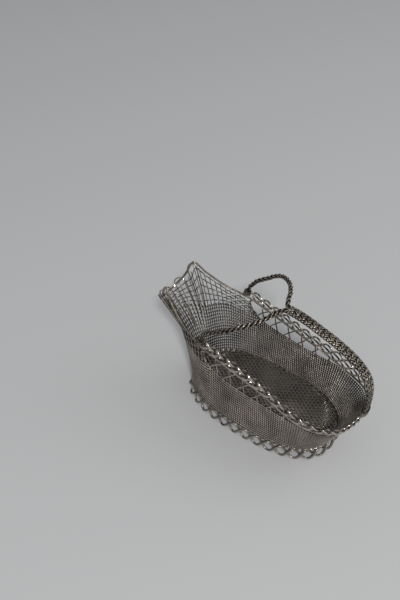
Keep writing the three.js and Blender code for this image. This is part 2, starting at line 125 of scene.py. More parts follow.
class Shade:
    """One socket of a material's nodes; sums, differences and products of it add Math nodes."""

    def __init__(self, tree, socket=None):
        self.tree = tree
        self.socket = socket

    def node(self, kind, settings, sockets, output=0):
        """Adds a node of a type, makes its settings, sets or links its sockets, and gives one output."""
        made = self.tree.nodes.new(kind)
        for name, value in settings.items():
            setattr(made, name, value)
        for name, value in sockets.items():
            if isinstance(value, Shade):
                self.tree.links.new(value.socket, made.inputs[name])
            else:
                made.inputs[name].default_value = value
        return Shade(self.tree, made.outputs[output])

    def math(self, operation, first, second):
        """A Math node on two values."""
        return self.node("ShaderNodeMath", {"operation": operation}, {0: first, 1: second})

    def __add__(self, other):
        return self.math("ADD", self, other)

    __radd__ = __add__

    def __sub__(self, other):
        return self.math("SUBTRACT", self, other)

    def __rsub__(self, other):
        return self.math("SUBTRACT", other, self)

    def __mul__(self, other):
        return self.math("MULTIPLY", self, other)

    __rmul__ = __mul__


def aged_and_shaded_silver(name, bright, dull, rubbed, crest, smooth, rough):
    """Silver plate, rubbed bright on its crests and darker in its hollows, which is partly tarnish and partly
    painted shade between the wires. Its polish and shade is what is rubbed, plus the wires' wear-and-shade
    attribute times the crest, plus broad patches and fine grain of noise, each from its middle, clamped to 0
    and 1. It mixes the dull colour with the bright one and the rough finish with the smooth."""
    material = bpy.data.materials.new(name)
    material.use_nodes = True
    tree = material.node_tree
    shader = tree.nodes["Principled BSDF"]
    start = Shade(tree)
    place = start.node("ShaderNodeTexCoord", {}, {}, "Object")
    broad = {"Vector": place, "Scale": TARNISH_SCALE, "Detail": 3.0}
    patches = start.node("ShaderNodeTexNoise", {}, broad)
    fine = {"Vector": place, "Scale": GRAIN_SCALE, "Detail": 2.0}
    grain = start.node("ShaderNodeTexNoise", {}, fine)
    wear_and_shade = start.node("ShaderNodeAttribute", {"attribute_name": "wear_and_shade"}, {}, "Fac")
    # Painted shade: the attribute read here darkens the hollows between wires, on top of the tarnish patches
    # and grain.
    worn_and_shaded = rubbed + crest * (wear_and_shade - 0.5) + TARNISH_SPREAD * (patches - 0.5) + GRAIN_SPREAD * (grain - 0.5)
    polish_and_shade = start.node("ShaderNodeClamp", {}, {"Value": worn_and_shaded})
    colour = start.node("ShaderNodeMix", {"data_type": "RGBA"}, {0: polish_and_shade, 6: dull, 7: bright}, 2)
    finish = rough + (smooth - rough) * polish_and_shade
    tree.links.new(colour.socket, shader.inputs["Base Color"])
    tree.links.new(finish.socket, shader.inputs["Roughness"])
    shader.inputs["Metallic"].default_value = SILVER_METALLIC
    return material


# Painted shade: the near-black dull colour with a strong crest darkens the grooves between the weave's rows,
# as shade between the wires.
woven_silver = aged_and_shaded_silver(
    "woven_silver",
    bright=(0.58, 0.517, 0.45, 1),
    dull=(0.026, 0.021, 0.018, 1),
    rubbed=-0.12,
    crest=2.6,
    smooth=0.22,
    rough=0.55,
)


def floor_half(position, half, other_half):
    """Half-length of the oval at a distance from its axis: the oval's equation solved for the other axis."""
    share = np.clip(1 - np.abs(position / other_half) ** OVAL_POWER, 0, 1)
    return half * share ** (1 / OVAL_POWER)


floor_half_length = BASE_HALF_LENGTH - FLOOR_MARGIN
floor_half_width = BASE_HALF_WIDTH - FLOOR_MARGIN
warp_last = int(floor_half_width / FLOOR_WARP_PITCH)
floor_share = np.linspace(-1, 1, 2 * FLOOR_WEFT_STEPS * warp_last + 1)
pair_row = np.repeat(np.arange(FLOOR_PAIRS), 2)
pair_side = np.tile([-FLOOR_PAIR_SHARE, FLOOR_PAIR_SHARE], FLOOR_PAIRS)
weft_x = floor_half_length * (2 * (pair_row + 0.5 + pair_side) / FLOOR_PAIRS - 1)
weft_y = floor_half(weft_x, floor_half_width, floor_half_length)[:, None] * floor_share
weft_rise = FLOOR_SWING * np.cos(np.pi * (weft_y / FLOOR_WARP_PITCH + pair_row[:, None]))
weft_lines = np.stack([np.broadcast_to(weft_x[:, None], weft_y.shape), weft_y, weft_rise], axis=-1)
weft_lines = weft_lines + base_centre
floor_wefts = lay_wires("floor_wefts", weft_lines, WAY_UP, FLOOR_WIRE, offset=weft_rise, reach=FLOOR_REACH)
warp_y = FLOOR_WARP_PITCH * np.arange(-warp_last, warp_last + 1)
warp_share = np.linspace(-1, 1, FLOOR_WARP_STEPS)
warp_x = floor_half(warp_y, floor_half_length, floor_half_width)[:, None] * warp_share
warp_lines = np.stack([warp_x, np.broadcast_to(warp_y[:, None], warp_x.shape), 0 * warp_x], axis=-1)
floor_warps = lay_wires("floor_warps", warp_lines + base_centre, WAY_UP, FLOOR_WARP, corners=5)
dress(floor_wefts, woven_silver, "woven_wire", "floor_panel")
dress(floor_warps, woven_silver, "woven_wire", "floor_panel")

# Base ring: two smooth silver-plated wires laid together in a long twist. Floor, wall and foot border are
# bound to it, and it is rubbed bright where it stands out below the weave, with painted shade where its two
# wires meet.
RING_WIRE = 1.45
RING_TWIST = 13.0
RING_STEPS = 900
FINE_STEPS = 4001
ANGLE_STEP = 0.001


def oval(angle, height, grow=0.0):
    """Superellipse round the base: each half-axis, grown by an amount, times the signed cosine or sine raised
    to two over the oval's power."""
    cosine = np.cos(angle)
    sine = np.sin(angle)
    x = (BASE_HALF_LENGTH + grow) * np.sign(cosine) * np.abs(cosine) ** (2 / OVAL_POWER)
    y = (BASE_HALF_WIDTH + grow) * np.sign(sine) * np.abs(sine) ** (2 / OVAL_POWER)
    return np.stack([base_centre[0] + x, y, np.broadcast_to(height, x.shape)], axis=-1)


def oval_out(angle):
    """The level way out of the oval: its tangent turned by a right angle."""
    along = oval(angle + ANGLE_STEP, 0.0) - oval(angle - ANGLE_STEP, 0.0)
    return unit(np.stack([along[..., 1], -along[..., 0], 0 * along[..., 0]], axis=-1))


def running_length(points):
    """Length of a line up to each of its points: the steps from point to point, summed."""
    return np.concatenate([[0], np.cumsum(np.linalg.norm(np.diff(points, axis=0), axis=1))])


def even_values(values, points, count, closed=True):
    """Values at even steps of length along a line, and its length: the running length is inverted by
    interpolation."""
    lengths = running_length(points)
    wanted = lengths[-1] * np.arange(count) / (count if closed else count - 1)
    return np.interp(wanted, lengths, values), lengths[-1]


fine_angle = np.linspace(0, 2 * np.pi, FINE_STEPS)
ring_angle, ring_length = even_values(fine_angle, oval(fine_angle, 0.0), RING_STEPS)
ring_turns = round(ring_length / RING_TWIST)
ring_wire_start = np.array([[0.0], [0.5]])
ring_phase = 2 * np.pi * (ring_turns * np.arange(RING_STEPS) / RING_STEPS + ring_wire_start)
ring_offset = RING_WIRE / 2 * np.cos(ring_phase)
ring_out = oval_out(ring_angle)
ring_lines = oval(ring_angle, base_centre[2])[None] + ring_offset[..., None] * ring_out
ring_lines[..., 2] += RING_WIRE / 2 * np.sin(ring_phase)
base_ring = lay_wires(
    "base_ring_twist", ring_lines, ring_out, RING_WIRE, closed=True, offset=ring_offset, reach=RING_WIRE
)
# Painted shade: the dark dull colour darkens the hollows where paired and twisted wires meet; their crests
# stay bright.
smooth_silver = aged_and_shaded_silver(
    "smooth_silver",
    bright=(0.55, 0.495, 0.43, 1),
    dull=(0.06, 0.05, 0.042, 1),
    rubbed=0.34,
    crest=1.5,
    smooth=0.17,
    rough=0.42,
)
dress(base_ring, smooth_silver, "smooth_wire", "base_ring")

# Woven wall: fine stakes of silver-plated wire, kept dark as painted shade behind the rows, bound to the base
# ring, and round them close rows of paired wires that are twined about each other, with all rows in step.
# Round the neck they end lower.
DESIGN_BASE_X = 11.5
RIM_HALF_WIDTH = 46.0
BACK_REACH = 127.5
CORD_X = -47.0
LIP_REACH = 124.0
NECK_HALF_WIDTH = 32.0
LIP_HALF_WIDTH = 25.0
ROD_DROP = 8.25
BACK_DROP = 5.85
BAND_DEPTH = 29.0
BACK_PLAIT = (3, 24)
SIDE_PLAIT = (5.4, 42)
CLOSE_BACK = 94
CLOSE_NECK = 89
WEAVE_ROOM = 2.2
WALL_GAP = 1.7
WALL_WIRE = 1.3
WALL_ROWS = 16
WALL_STAKE = 1.0
WALL_STAKE_PITCH = 2.52
WALL_STAKE_STEPS = 9
# Painted shade: this long reach keeps the stakes dark, as shade behind the rows.
WALL_STAKE_REACH = 2.0
TWINE_STEPS = 4
TWINE_RISE = 0.55
TWINE_DEPTH = 0.5
TWINE_REACH = 1.0
CURVE_STEPS = 2001
PLACE_STEP = 0.02
SLOPE_STEP = 0.1
HEIGHT_STEP = 0.5

# Stations of the far side, from the back to the lip: the angle on the base oval, the rim's point, how far the
# weave and the rod lie below it, the sweep of the side, the half-width and pitch of the plait, and the top of
# the close rows. They are drawn with the middle of the base at DESIGN_BASE_X, and move with the ring.
ANGLE, RIM_X, RIM_Y, RIM_Z, WEAVE, ROD, SWEEP, HALF, PITCH, DENSE = range(10)
half_hull = np.array(
    [
        (0, BACK_REACH, 0, 74, BACK_DROP, BACK_DROP, 1, *BACK_PLAIT, CLOSE_BACK),
        (24, 0.92 * BACK_REACH, 0.75 * RIM_HALF_WIDTH, 74, BACK_DROP, BACK_DROP, 1, *BACK_PLAIT, CLOSE_BACK),
        (50, 0.645 * BACK_REACH, 1.04 * RIM_HALF_WIDTH, 77, ROD_DROP, ROD_DROP, 1, *SIDE_PLAIT, CLOSE_BACK),
        (80, 0.235 * BACK_REACH, RIM_HALF_WIDTH, 94, 0.83 * BAND_DEPTH, ROD_DROP, 1, *SIDE_PLAIT, CLOSE_BACK),
        (108, 0.53 * CORD_X, RIM_HALF_WIDTH, 109, BAND_DEPTH, ROD_DROP, 1, *SIDE_PLAIT, 85.9),
        (122, CORD_X, 0.98 * RIM_HALF_WIDTH, 115, 0.48 * BAND_DEPTH, ROD_DROP, 1.2, *SIDE_PLAIT, 83.2),
        (138, -70.9, 39, 116, 0.2 * BAND_DEPTH, 0.25 * ROD_DROP, 1.6, *SIDE_PLAIT, CLOSE_NECK),
        (153, -92.0, NECK_HALF_WIDTH, 127, 0, 0, 2, *SIDE_PLAIT, CLOSE_NECK),
        (165, -105.9, LIP_HALF_WIDTH, 141, 0, 0, 2, *SIDE_PLAIT, CLOSE_NECK),
        (171, -115.1, 0.84 * LIP_HALF_WIDTH, 120.8, 0, 0, 2, *SIDE_PLAIT, CLOSE_NECK),
        (176, -121.5, 0.5 * LIP_HALF_WIDTH, 109, 0, 0, 2, *SIDE_PLAIT, CLOSE_NECK),
        (180, -LIP_REACH, 0, 105, 0, 0, 2, *SIDE_PLAIT, CLOSE_NECK),
    ]
)
near_hull = half_hull[-2:0:-1].copy()
near_hull[:, ANGLE] = 360 - near_hull[:, ANGLE]
near_hull[:, RIM_Y] *= -1
stations = np.vstack([half_hull, near_hull])
base_shift = base_centre[0] - DESIGN_BASE_X
stations[:, RIM_X] += base_shift
TURN = len(stations)
LIP_PLACE = len(half_hull) - 1


def curve_between(before, start, end, after, share):
    """Smooth curve from start to end: a cubic of the share, whose slope at each of them is half the step
    between the values on either side of it."""
    square = 2 * before - 5 * start + 4 * end - after
    cube = 3 * (start - end) + after - before
    return start + 0.5 * share * (end - before + share * (square + share * cube))


def station_value(place, column):
    """Curve through the stations' values at a place; the angle gains a full circle each turn."""
    first = np.floor(place).astype(int)
    full = 360.0 if column == ANGLE else 0.0
    nearby = [first - 1, first, first + 1, first + 2]
    values = (stations[number % TURN, column] + full * (number // TURN) for number in nearby)
    return curve_between(*values, place - first)


def hull(place, height):
    """The basket's side: from the base oval to the rim, moved across by the share of the rise to the power of
    the station's sweep. Place counts the stations from the back, over the far side to the lip and round."""
    place, height = np.broadcast_arrays(np.asarray(place, float), np.asarray(height, float))
    foot = oval(np.radians(station_value(place, ANGLE)), 0.0)
    rim = np.stack([station_value(place, RIM_X), station_value(place, RIM_Y)], axis=-1)
    rise = np.clip((height - base_centre[2]) / (station_value(place, RIM_Z) - base_centre[2]), 0, None)
    out = rise ** station_value(place, SWEEP)
    level = foot[..., :2] + (rim - foot[..., :2]) * out[..., None]
    return np.concatenate([level, height[..., None]], axis=-1)


def hull_up(place, height):
    """The way up along the side, from points a step below and above."""
    return unit(hull(place, height + HEIGHT_STEP) - hull(place, height - HEIGHT_STEP))


def hull_out(place, height):
    """The way out of the side: across its level line and its way up."""
    along = hull(place + PLACE_STEP, height) - hull(place - PLACE_STEP, height)
    return unit(np.cross(along, hull_up(place, height)))


def rim_height(place):
    """Middle line of the rim band."""
    return station_value(place, RIM_Z)


def rod_height(place):
    """Line of the rod, which drops below the rim band and rises to the edge at the lip."""
    return rim_height(place) - station_value(place, ROD)


def weave_height(place):
    """Edge of the weave: the rim less the open depth, and clear of the rod measured square to its slope."""
    behind = place - SLOPE_STEP
    ahead = place + SLOPE_STEP
    run = hull(ahead, rod_height(ahead)) - hull(behind, rod_height(behind))
    slope = np.linalg.norm(run, axis=-1) / np.linalg.norm(run[..., :2], axis=-1)
    return np.minimum(rim_height(place) - station_value(place, WEAVE), rod_height(place) - WEAVE_ROOM * slope)


def dense_height(place):
    """Edge of the close rows, above which the neck's mesh is open."""
    return np.minimum(weave_height(place), station_value(place, DENSE))


fine_half = np.linspace(0, LIP_PLACE, CURVE_STEPS)


def place_at(x, height_of):
    """Place on the far side where a line at a height reaches an X, by interpolation."""
    line_x = hull(fine_half, height_of(fine_half))[:, 0]
    return np.interp(-x, -line_x, fine_half)


wall_foot = base_centre[2] + WALL_GAP
fine_place = np.linspace(0, TURN, FINE_STEPS)
middle_line = hull(fine_place, (wall_foot + dense_height(fine_place)) / 2)
girth = running_length(middle_line)[-1]
stake_count = 2 * round(girth / WALL_STAKE_PITCH / 2)
twine_count = TWINE_STEPS * stake_count
wall_place, _ = even_values(fine_place, middle_line, twine_count)
row_number, row_partner = np.divmod(np.arange(2 * WALL_ROWS)[:, None], 2)
row_turn = np.pi * (np.arange(twine_count) / TWINE_STEPS + row_partner)
row_height = wall_foot + (dense_height(wall_place) - wall_foot) * (row_number + 0.5) / WALL_ROWS
row_height = row_height + TWINE_RISE * np.cos(row_turn)
row_place = np.broadcast_to(wall_place, row_height.shape)
row_out = hull_out(row_place, row_height)
row_depth = TWINE_DEPTH * np.sin(row_turn)
row_lines = hull(row_place, row_height) + row_depth[..., None] * row_out
wall_halves = zip(np.split(row_lines, 2), np.split(row_out, 2), np.split(row_depth, 2))
for number, (line, out, depth) in enumerate(wall_halves, start=1):
    wall_wefts = lay_wires(
        f"wall_wefts_{number}", line, out, WALL_WIRE, corners=5, closed=True, offset=depth, reach=TWINE_REACH
    )
    dress(wall_wefts, woven_silver, "woven_wire", "wall_weave")
stake_place = wall_place[::TWINE_STEPS, None]
stake_share = np.linspace(0, 1, WALL_STAKE_STEPS)
stake_height = wall_foot + (dense_height(stake_place) - wall_foot) * stake_share
stake_lines = hull(stake_place, stake_height)
stake_out = hull_out(stake_place, stake_height)
wall_stakes = lay_wires("wall_stakes", stake_lines, stake_out, WALL_STAKE, corners=4, reach=WALL_STAKE_REACH)
dress(wall_stakes, woven_silver, "woven_wire", "wall_weave")

# Neck: five single wires woven above the close rows on longer uprights, to an open mesh that runs up to the
# lip. They are silver-plated as the wall is, and the uprights are rooted in its top rows.
NECK_WIRE = 1.1
NECK_ROWS = 5
NECK_FIRST_ROW = 0.6
NECK_STEPS = 4
NECK_SWING = 0.5
NECK_REACH = 1.0
NECK_UPRIGHTS = 40
UPRIGHT_ROOT = 4.0
UPRIGHT_TOP = 1.5
UPRIGHT_STEPS = 13
MESH_START_X = -33.0
neck_first = place_at(MESH_START_X + base_shift, weave_height)
fine_neck = np.linspace(neck_first, TURN - neck_first, CURVE_STEPS)
neck_line = hull(fine_neck, (dense_height(fine_neck) + weave_height(fine_neck)) / 2)
neck_count = NECK_STEPS * (NECK_UPRIGHTS - 1) + 1
neck_place, _ = even_values(fine_neck, neck_line, neck_count, closed=False)
neck_row = np.arange(NECK_ROWS)[:, None]
neck_low = dense_height(neck_place)
neck_height = neck_low + (weave_height(neck_place) - neck_low) * ((neck_row + NECK_FIRST_ROW) / NECK_ROWS)
neck_rows_place = np.broadcast_to(neck_place, neck_height.shape)
neck_out = hull_out(neck_rows_place, neck_height)
neck_swing = NECK_SWING * np.cos(np.pi * (np.arange(neck_count) / NECK_STEPS + neck_row))
neck_lines = hull(neck_rows_place, neck_height) + neck_swing[..., None] * neck_out
neck_wefts = lay_wires("neck_wefts", neck_lines, neck_out, NECK_WIRE, offset=neck_swing, reach=NECK_REACH)
upright_place = neck_place[::NECK_STEPS, None]
upright_low = dense_height(upright_place) - UPRIGHT_ROOT
upright_high = weave_height(upright_place) + UPRIGHT_TOP
upright_height = upright_low + (upright_high - upright_low) * np.linspace(0, 1, UPRIGHT_STEPS)
upright_lines = hull(upright_place, upright_height)
neck_uprights = lay_wires("neck_stakes", upright_lines, hull_out(upright_place, upright_height), NECK_WIRE)
dress(neck_wefts, woven_silver, "woven_wire", *(f"neck_row_{row + 1}" for row in range(NECK_ROWS)))
dress(neck_uprights, woven_silver, "woven_wire", "neck_uprights")

# Foot border: two thick smooth silver-plated wires that wave between the base ring and the table and cross
# each other in an eyelet at every turn. Their low points are worn flat where the basket stands.
FOOT_WIRE = 2.5
FOOT_WAVES = 16
FOOT_FLARE = 2.6
FOOT_APART = 1.5
FOOT_STEPS = 24
FOOT_START = 0.25
FOOT_LOW = 0.8
FOOT_BELOW_RING = 2.95
foot_count = FOOT_WAVES * FOOT_STEPS
foot_high = base_centre[2] - FOOT_BELOW_RING
foot_angle, _ = even_values(fine_angle, oval(fine_angle, 0.0), foot_count)
foot_turn = 2 * np.pi * (np.arange(foot_count) / FOOT_STEPS + FOOT_START)
foot_silver = aged_and_shaded_silver(
    "foot_silver",
    bright=(0.42, 0.385, 0.34, 1),
    dull=(0.10, 0.087, 0.072, 1),
    rubbed=0.4,
    crest=0.7,
    smooth=0.22,
    rough=0.45,
)
for number, phase in ((1, 1), (2, -1)):
    rise = (1 - phase * np.cos(foot_turn)) / 2
    out = phase * FOOT_APART * np.sin(foot_turn) + FOOT_FLARE * (1 - rise)
    line = oval(foot_angle, FOOT_LOW + (foot_high - FOOT_LOW) * rise, out)
    foot_wave = lay_wires(
        f"foot_scallops_{number}", line[None], oval_out(foot_angle), FOOT_WIRE, corners=8, closed=True
    )
    coordinates = np.empty(len(foot_wave.data.vertices) * 3)
    foot_wave.data.vertices.foreach_get("co", coordinates)
    coordinates[2::3] = np.maximum(coordinates[2::3], 0)
    foot_wave.data.vertices.foreach_set("co", coordinates)
    dress(foot_wave, foot_silver, "smooth_wire", f"foot_wave_{number}")

# Crossed stakes: thicker smooth wires that leave the weave and lean across the open band to the rod, one
# steep and one slanting at each cross, so that the band reads as a row of X shapes.
WAY_ACROSS = (0, 1, 0)
HANDS = (("far", (1, 1, 1)), ("near", (1, -1, 1)))
CROSS_WIRE = 1.5
CROSS_COUNT = 7
CROSS_PITCH = 17.3
CROSS_FIRST_X = -41.0
CROSS_ROOT = 6.0
CROSS_ROOT_SHARE = 0.3
CROSS_TOP = 2.55
CROSS_STEPS = 11
CROSS_APART = 0.85
CROSS_LEAST_APART = 0.2
FORE_LEAN = -13.0
AFT_LEAN = 39.0
cross_x = CROSS_FIRST_X + base_shift + CROSS_PITCH * np.arange(CROSS_COUNT)
cross_place = place_at(cross_x, weave_height)
half_gap = (rod_height(cross_place) - CROSS_TOP - weave_height(cross_place)) / 2
climb = np.linspace(0, 1, CROSS_STEPS)[None, :]
root = np.clip(climb / CROSS_ROOT_SHARE, 0, 1)
rise = np.clip((climb - CROSS_ROOT_SHARE) / (1 - CROSS_ROOT_SHARE), 0, 1)
apart = CROSS_APART * np.clip(2 * climb - CROSS_ROOT_SHARE, CROSS_LEAST_APART, 1)
for kind, lean, layer in (("fore", FORE_LEAN, -1), ("aft", AFT_LEAN, 1)):
    shift = half_gap * np.tan(np.radians(lean))
    foot_place = place_at(cross_x - shift, weave_height)[:, None]
    top_place = place_at(cross_x + shift, rod_height)[:, None]
    place = foot_place + (top_place - foot_place) * rise
    foot_height = weave_height(foot_place)
    height = foot_height - CROSS_ROOT * (1 - root) + (rod_height(top_place) - foot_height) * rise
    far_lines = hull(place, height) + layer * apart[..., None] * hull_out(place, height)
    for hand, mirror in HANDS:
        for number, line in enumerate(far_lines * mirror, start=1):
            stake = lay_wires(f"{hand}_{kind}_cross_{number}", line[None], WAY_ACROSS, CROSS_WIRE, corners=7)
            dress(stake, smooth_silver, "smooth_wire", f"{hand}_{kind}_stake_{number}")

# Rim: a rod of two smooth wires edges the mouth, the neck and the lip. Above it three strands, each of two
# thick wires, bright with rubbed wear and painted highlight, are plaited loosely round the back of the mouth,
# with lozenge gaps between them.
BOTH_WIRES = np.array([[[1.0]], [[-1.0]]])
ROD_WIRE = 1.45
ROD_APART = 0.7
ROD_STEPS = 700
ROD_REACH = 0.95
PLAIT_STRANDS = 3
PLAIT_WIRE = 1.25
PLAIT_DEPTH = 1.6
PLAIT_STEPS = 600
PLAIT_END = 6.7
# Painted highlight: this short reach makes the strands' colour bright over much of their depth, besides their
# rubbed crests.
PLAIT_REACH = 1.3
rod_line = hull(fine_place, rod_height(fine_place))
rod_place, _ = even_values(fine_place, rod_line, ROD_STEPS)
rod_level = rod_height(rod_place)
rod_pair = hull(rod_place, rod_level) + ROD_APART * BOTH_WIRES * hull_up(rod_place, rod_level)
rod_out = hull_out(rod_place, rod_level)
rim_rod = lay_wires("rim_edge", rod_pair, rod_out, ROD_WIRE, corners=8, closed=True, reach=ROD_REACH)
dress(rim_rod, smooth_silver, "smooth_wire", "rim_rod")
cord_x = CORD_X + base_shift
plait_end = place_at(cord_x + PLAIT_END, rim_height)
plait_fine = np.linspace(plait_end, -plait_end, FINE_STEPS)
plait_line = hull(plait_fine, rim_height(plait_fine))
plait_place, plait_length = even_values(plait_fine, plait_line, PLAIT_STEPS, closed=False)
plait_height = rim_height(plait_place)
plait_out = hull_out(plait_place, plait_height)
plait_up = hull_up(plait_place, plait_height)
turns_run = np.cumsum(plait_length / (PLAIT_STEPS - 1) / station_value(plait_place, PITCH))
turns_run = (turns_run - turns_run[0]) / (turns_run[-1] - turns_run[0]) * round(turns_run[-1])
for strand in range(PLAIT_STRANDS):
    turn = 2 * np.pi * (turns_run + strand / PLAIT_STRANDS)
    depth = PLAIT_DEPTH * np.sin(2 * turn)
    line = hull(plait_place, plait_height) + depth[:, None] * plait_out
    line = line + (station_value(plait_place, HALF) * np.sin(turn))[:, None] * plait_up
    beside = unit(np.cross(plait_out, np.gradient(line, axis=0)))
    pair = line + PLAIT_WIRE / 2 * BOTH_WIRES * beside
    rim_strand = lay_wires(
        f"rim_plait_{strand + 1}", pair, plait_out, PLAIT_WIRE, corners=7, offset=depth, reach=PLAIT_REACH
    )
    dress(rim_strand, smooth_silver, "smooth_wire", f"rim_strand_{strand + 1}")

# Handle cords: ropes of three strands, each of three silver-plated wires laid together, with painted shade
# between them.
# Each cord stands on the rod at the front of the plaited rim, bulges out and turns in over the basket to meet
# the other one.
RIM_CORD_HEIGHT = 115.0
JUNCTION_X = 31.0
JUNCTION_Y = 2.9
JUNCTION_HEIGHT = 170.0
CORD_RISE = 1.8
CORD_BULGE = 50.0
CORD_MEETING = 2.7
CORD_ENTRY = 5.0
ENTRY_INWARD = 0.5
ENTRY_DROP = 0.2
CORD_WIRE = 1.3
CORD_LAY = 18.0
CORD_STRANDS = 3
CORD_STRAND_RADIUS = 1.5
CORD_PLIES = 3
CORD_PLY_RADIUS = 0.62
CORD_PLY_TURNS = 1.5
CORD_SLIM_LENGTH = 18.0
CORD_SLIMMEST = 0.6
CORD_STEPS = 420
CORD_REACH = 1.2
SIDE_NUDGE = (0.01, 0, 0)


def points_at(wanted, known, line):
    """Points of a line at wanted values of what is known at its own points, by interpolation."""
    return np.stack([np.interp(wanted, known, line[:, axis]) for axis in range(3)], axis=-1)


def smooth_line(knots, count):
    """Smooth cubic line through knots, with its ends carried on straight, at even steps of length, and its
    length."""
    knots = np.asarray(knots, float)
    held = np.vstack([2 * knots[0] - knots[1], knots, 2 * knots[-1] - knots[-2]])
    fine = np.linspace(0, len(knots) - 1, CURVE_STEPS)
    first = np.minimum(fine.astype(int), len(knots) - 2)
    values = (held[first + number] for number in range(4))
    points = curve_between(*values, (fine - first)[:, None])
    even, length = even_values(fine, points, count, closed=False)
    return points_at(even, fine, points), length


def rope_lines(line, length, slim):
    """A laid rope: the wires of a strand stand round its middle, at the ply radius times cosine and sine of
    an angle, and that middle runs round the rope's in the same way at the strand radius, once in each lay. A
    nudge keeps the way across defined where the rope stands upright."""
    along = unit(np.gradient(line, axis=0))
    up = unit(np.cross(along, np.cross(WAY_UP, along) + SIDE_NUDGE))
    across = np.cross(up, along)
    turn = 2 * np.pi * length / CORD_LAY * np.linspace(0, 1, len(line))
    lines, outs, depths = [], [], []
    for strand in range(CORD_STRANDS):
        angle = turn + 2 * np.pi * strand / CORD_STRANDS
        out = np.cos(angle)[:, None] * across + np.sin(angle)[:, None] * up
        beside = np.cross(out, along)
        for ply in range(CORD_PLIES):
            roll = CORD_PLY_TURNS * turn + 2 * np.pi * ply / CORD_PLIES
            lean = np.cos(roll)[:, None] * out + np.sin(roll)[:, None] * beside
            lines.append(line + (CORD_STRAND_RADIUS * slim)[:, None] * out + CORD_PLY_RADIUS * lean)
            outs.append(out)
            depths.append(CORD_PLY_RADIUS * np.cos(roll))
    return np.array(lines), np.array(outs), np.array(depths)


cord_place = place_at(cord_x, rod_height)
cord_foot = hull(cord_place, rod_height(cord_place) + CORD_RISE)
junction_x = JUNCTION_X + base_shift
# Points of the far cord between its ends, as shares of its way back, of its bulge and of its rise.
cord_shares = np.array(
    [
        (0.038, 0.916, 0.124),
        (0.14, 0.946, 0.353),
        (0.29, 0.984, 0.529),
        (0.43, 0.992, 0.7),
        (0.57, 0.912, 0.836),
        (0.73, 0.71, 0.942),
        (0.838, 0.46, 0.993),
        (0.893, 0.24, 1.011),
        (0.93, 0.115, 1.007),
    ]
)
cord_span = np.array([junction_x - cord_x, CORD_BULGE, JUNCTION_HEIGHT - RIM_CORD_HEIGHT])
cord_middle = cord_shares * cord_span + (cord_x, 0, RIM_CORD_HEIGHT)
cord_ends = np.array([(-CORD_MEETING, JUNCTION_Y, 0), (CORD_ENTRY, JUNCTION_Y - ENTRY_INWARD, -ENTRY_DROP)])
cord_ends = cord_ends + (junction_x, 0, JUNCTION_HEIGHT)
cord_line, cord_length = smooth_line(np.vstack([cord_foot, cord_middle, cord_ends]), CORD_STEPS)
cord_slim = np.clip(np.linspace(0, cord_length, CORD_STEPS) / CORD_SLIM_LENGTH, CORD_SLIMMEST, 1)
cord_rope, cord_out, cord_depth = rope_lines(cord_line, cord_length, cord_slim)
# Painted shade: the near-black dull colour with a strong crest darkens the grooves between the strands of the
# cords and the grip.
plaited_silver = aged_and_shaded_silver(
    "plaited_silver",
    bright=(0.43, 0.378, 0.32, 1),
    dull=(0.022, 0.018, 0.015, 1),
    rubbed=0.1,
    crest=2.1,
    smooth=0.22,
    rough=0.5,
)
for hand, mirror in HANDS:
    rope = cord_rope * mirror
    out = cord_out * mirror
    cord = lay_wires(f"{hand}_cord_rope", rope, out, CORD_WIRE, offset=cord_depth, reach=CORD_REACH)
    dress(cord, plaited_silver, "plaited_wire", f"{hand}_cord")

# Grip: a broad flat braid of silver-plated wires over a core of the same, which is kept dark as painted shade
# inside the braid. It takes in the ends of the cords where they meet, and runs over and down to the back of
# the rim.
GRIP_START = 31.4
GRIP_BACK_X = 130.5
PLAIT_TOP = 78.05
GRIP_HALF_WIDTH = 4.8
GRIP_HALF_HEIGHT = 1.25
GRIP_WIRE = 1.6
GRIP_LAY = 34.0
GRIP_PLIES = 5
GRIP_PLY_WIRES = 2
GRIP_PLY_SPREAD = 1.75
GRIP_SWING = 0.65
GRIP_STEPS = 400
GRIP_REACH = 1.65
CORE_WIRES = 5
CORE_WIRE = 2.2
CORE_SHARE = 0.8
CORE_TRIM = 4
# Painted shade: this long reach keeps the core dark, as shade seen through the braid's gaps.
CORE_REACH = 6.0


def braid_lines(line, side, length):
    """A braid round an oval core: half the plies turn one way and half the other, once in each lay, and swing
    in and out by a cosine of the ply count times the turn, so that they pass over and under in turn. The
    wires of a ply lie side by side, a little apart along the braid."""
    along = unit(np.gradient(line, axis=0))
    up = unit(np.cross(along, np.broadcast_to(side, line.shape)))
    across = np.cross(up, along)
    turn = 2 * np.pi * length / GRIP_LAY * np.linspace(0, 1, len(line))
    wire_turn = 2 * np.pi * GRIP_WIRE * GRIP_PLY_SPREAD / GRIP_LAY
    lines, outs, offsets = [], [], []
    for way in (1, -1):
        swing = way * GRIP_SWING * np.cos(GRIP_PLIES * turn)
        for ply in range(GRIP_PLIES):
            for wire in range(GRIP_PLY_WIRES):
                own_turn = turn + wire_turn * (wire - (GRIP_PLY_WIRES - 1) / 2)
                angle = way * own_turn + 2 * np.pi * ply / GRIP_PLIES
                wide = (np.cos(angle) * GRIP_HALF_WIDTH)[:, None] * across
                high = (np.sin(angle) * GRIP_HALF_HEIGHT)[:, None] * up
                level = (np.cos(angle) / GRIP_HALF_WIDTH)[:, None] * across
                out = unit(level + (np.sin(angle) / GRIP_HALF_HEIGHT)[:, None] * up)
                lines.append(line + wide + high + swing[:, None] * out)
                outs.append(out)
                offsets.append(swing)
    return np.array(lines), np.array(outs), np.array(offsets)


